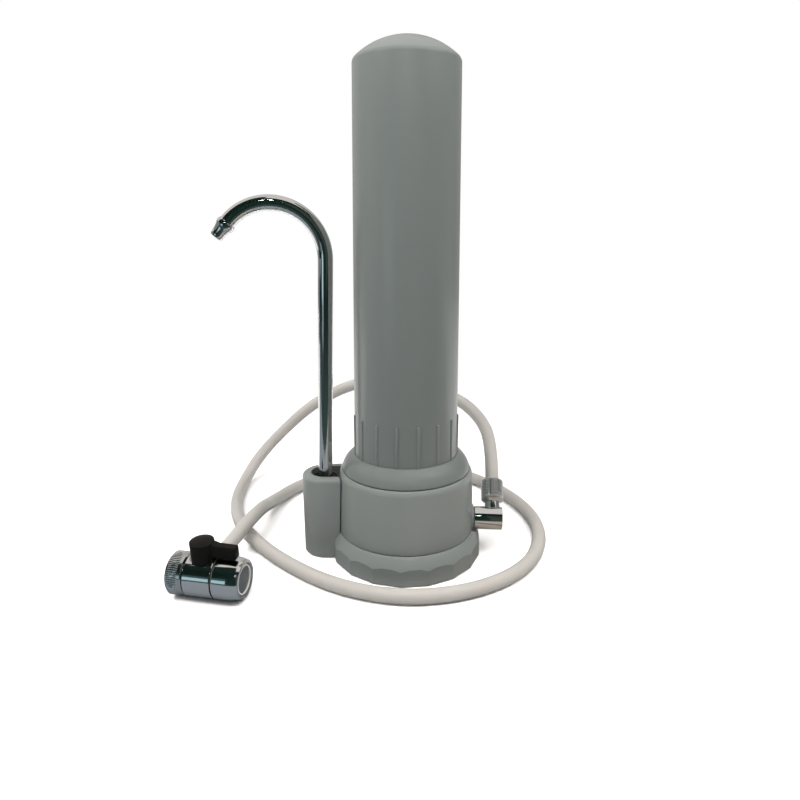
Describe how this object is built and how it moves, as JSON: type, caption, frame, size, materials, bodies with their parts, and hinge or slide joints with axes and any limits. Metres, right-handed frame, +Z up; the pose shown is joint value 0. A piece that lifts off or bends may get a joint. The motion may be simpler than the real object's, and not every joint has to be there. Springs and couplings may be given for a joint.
{
  "type": "countertop water purifier",
  "caption": "Countertop water purifier: tall screw-down canister on a round foot, swivelling gooseneck spout, and a hose with a diverter valve for the tap.",
  "frame": {"origin": "centre of the foot's rubber pad, on the worktop, on the axis of the canister", "axes": "+Z up along the canister, +X towards the inlet elbow, -X towards the spout's tower, -Y towards the front"},
  "size_m": [0.2474, 0.2218, 0.3215],
  "materials": {
    "canister_grey": "smooth moulded plastic with a soft gloss",
    "housing_grey": "smooth moulded plastic with a soft gloss",
    "hose_white": "milky polyethylene tube",
    "chrome": "polished chrome plate",
    "black_plastic": "black moulded plastic",
    "black_rubber": "matte black rubber",
    "white_plastic": "plain moulded plastic",
    "brass": "turned brass",
    "screw_steel": "bright steel",
    "ceramic_white": null,
    "carbon_black": null
  },
  "bodies": {
    "housing": {"foot": "housing_grey", "non_slip_pad": "black_rubber", "base_screws": "screw_steel", "filter_head": "housing_grey", "candle_cap": "white_plastic", "candle_o_rings": "black_rubber", "candle_shell": "ceramic_white", "carbon_core": "carbon_black", "spout_collar": "black_plastic", "inlet_seal": "black_rubber", "inlet_elbow": "chrome", "inlet_o_ring": "black_rubber", "inlet_nut": "chrome", "inlet_sleeve": "white_plastic", "inlet_insert": "brass", "diverter_body": "chrome", "diverter_spindle_o_ring": "black_rubber", "diverter_seat_in": "white_plastic", "diverter_seat_out": "white_plastic", "diverter_gland": "brass", "diverter_washer": "black_rubber", "diverter_outlet_sleeve": "chrome", "aerator_washer": "black_rubber", "aerator_cup": "white_plastic", "aerator_disc": "white_plastic", "aerator_screen": "screw_steel", "diverter_hose_nut": "chrome", "diverter_hose_sleeve": "white_plastic", "diverter_hose_insert": "brass", "hose": "hose_white"},
    "spout": {"spout_tube": "chrome", "spout_tip": "chrome", "spout_bush": "brass", "spout_o_rings": "black_rubber"},
    "canister_seal": {"canister_o_ring": "black_rubber"},
    "canister": {"canister": "canister_grey"},
    "diverter_lever": {"diverter_lever": "black_plastic", "diverter_spindle": "brass", "diverter_ball": "brass"},
    "diverter_swivel_nut": {"diverter_swivel_nut": "chrome"}
  },
  "joints": [
    {"name": "spout_swivel", "type": "hinge", "parent": "housing", "child": "spout", "pos_m": [-0.055, 0, 0], "axis": [0, 0, 1], "range_deg": [-140, 120]},
    {"name": "canister_rise", "type": "slide", "parent": "housing", "child": "canister_seal", "axis": [0, 0, 1], "range_m": [0, 0.012]},
    {"name": "canister_turn", "type": "hinge", "parent": "canister_seal", "child": "canister", "pos_m": [0, 0, 0], "axis": [0, 0, 1], "range_deg": [0, 1080]},
    {"name": "diverter_lever_turn", "type": "hinge", "parent": "housing", "child": "diverter_lever", "pos_m": [-0.1235, -0.058, 0.0134], "axis": [-0.0133, -0.0685, 0.9976], "range_deg": [0, 90]},
    {"name": "diverter_nut_spin", "type": "hinge", "parent": "housing", "child": "diverter_swivel_nut", "pos_m": [-0.1235, -0.058, 0.0134], "axis": [0.9816, -0.1908, 0], "continuous": true}
  ],
  "couplings": [
    {"joint": "canister_rise", "follows": "canister_turn", "m_per_rad": 0.00063662}
  ]
}
